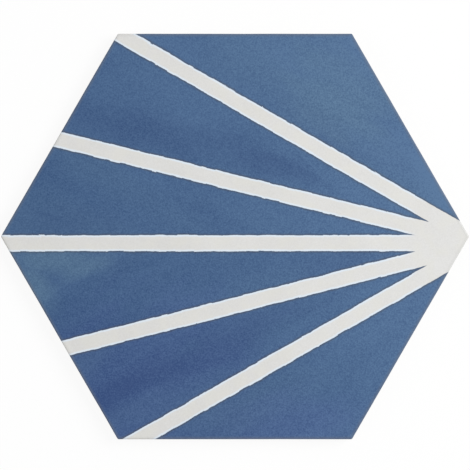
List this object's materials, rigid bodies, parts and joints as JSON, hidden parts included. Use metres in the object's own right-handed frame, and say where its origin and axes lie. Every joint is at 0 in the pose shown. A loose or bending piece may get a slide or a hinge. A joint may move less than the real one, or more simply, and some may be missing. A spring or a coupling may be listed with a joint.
{
  "type": "hexagon floor tile",
  "caption": "Hexagon floor tile, pressed and fired, with a matt blue glaze, off-white stripes that fan from one corner, and a honeycomb keyed back.",
  "frame": {"origin": "centre of the back, at the height of the ribs and border that the tile is bedded on", "axes": "+Z out of the walking face, +X towards the corner that the stripes fan from"},
  "size_m": [0.2284, 0.198, 0.009],
  "materials": {
    "tile": "matt blue glaze with off-white stripes, bare fired body on the rim and back"
  },
  "bodies": {
    "root": {"hexagon_tile": "tile"}
  },
  "joints": []
}
